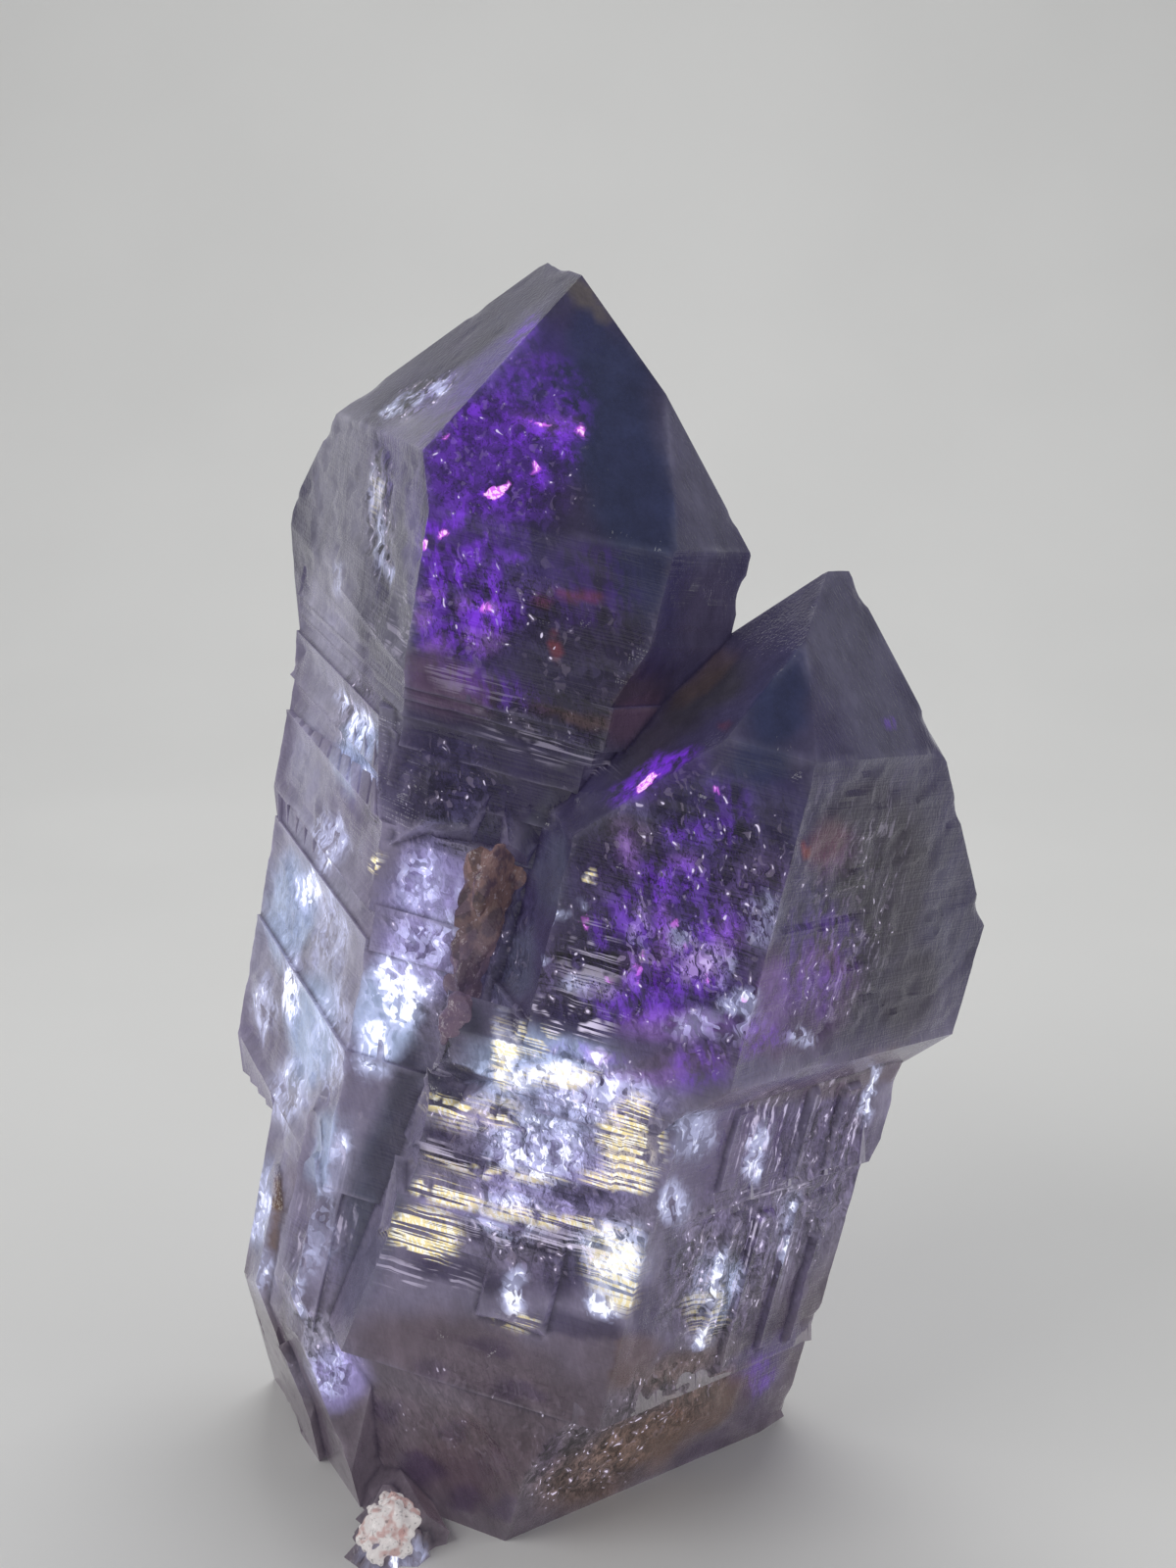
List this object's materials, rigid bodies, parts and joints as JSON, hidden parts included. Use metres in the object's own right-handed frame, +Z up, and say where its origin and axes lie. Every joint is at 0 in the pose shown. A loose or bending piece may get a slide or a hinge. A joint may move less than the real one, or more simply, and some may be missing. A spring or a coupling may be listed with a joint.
{
  "type": "amethyst scepter",
  "caption": "Amethyst scepter: violet pointed heads side by side on a stepped, ribbed quartz body with small side crystals and pale druse, cut flat at the foot to stand.",
  "frame": {"origin": "middle of the foot's bounding rectangle, on the surface the crystal stands on", "axes": "+Z up, -Y the front that faces the camera, +X right; the crystals grow up and lean 13 degrees to +X"},
  "size_m": [0.0504, 0.0348, 0.0777],
  "materials": {
    "amethyst": "natural crystal faces, clear to grey violet quartz, deep violet in the heads, glassy, striated across the prism sides"
  },
  "bodies": {
    "root": {"amethyst_crystal": "amethyst"}
  },
  "joints": []
}
